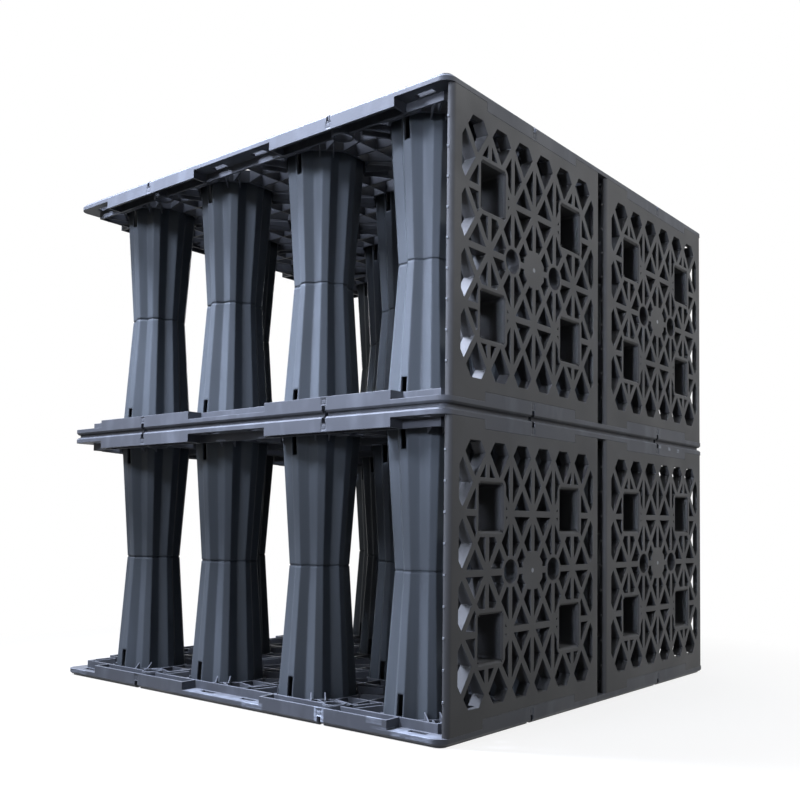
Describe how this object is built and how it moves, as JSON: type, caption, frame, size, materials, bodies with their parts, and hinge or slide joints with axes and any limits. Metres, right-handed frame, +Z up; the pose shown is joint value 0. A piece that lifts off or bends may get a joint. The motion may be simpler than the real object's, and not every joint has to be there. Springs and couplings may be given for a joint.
{
  "type": "soakaway crate",
  "caption": "Cube-shaped stormwater soakaway block of nested plastic crate tiers: ribbed decks on hollow hourglass columns, one face closed by lattice side panels.",
  "frame": {"origin": "centre of the ground face of the lowest deck", "axes": "+Z up, the face closed by lattice panels toward -Y, the open face seen in the picture toward -X"},
  "size_m": [1.2, 1.2, 1.22],
  "materials": {
    "deck_plastic": "moulded charcoal polypropylene, dusty from handling",
    "column_plastic": "moulded charcoal polypropylene, smooth",
    "panel_plastic": "moulded charcoal polypropylene, fine satin"
  },
  "bodies": {
    "root": {"t1_base_deck": "deck_plastic", "t1_top_deck": "deck_plastic", "t2_base_deck": "deck_plastic", "t2_top_deck": "deck_plastic", "t1_lower_columns_row1": "column_plastic", "t1_lower_columns_row2": "column_plastic", "t1_lower_columns_row3": "column_plastic", "t1_lower_columns_row4": "column_plastic", "t1_upper_columns_row1": "column_plastic", "t1_upper_columns_row2": "column_plastic", "t1_upper_columns_row3": "column_plastic", "t1_upper_columns_row4": "column_plastic", "t2_lower_columns_row1": "column_plastic", "t2_lower_columns_row2": "column_plastic", "t2_lower_columns_row3": "column_plastic", "t2_lower_columns_row4": "column_plastic", "t2_upper_columns_row1": "column_plastic", "t2_upper_columns_row2": "column_plastic", "t2_upper_columns_row3": "column_plastic", "t2_upper_columns_row4": "column_plastic", "t1_panel_left": "panel_plastic", "t1_panel_right": "panel_plastic", "t2_panel_left": "panel_plastic", "t2_panel_right": "panel_plastic"}
  },
  "joints": []
}
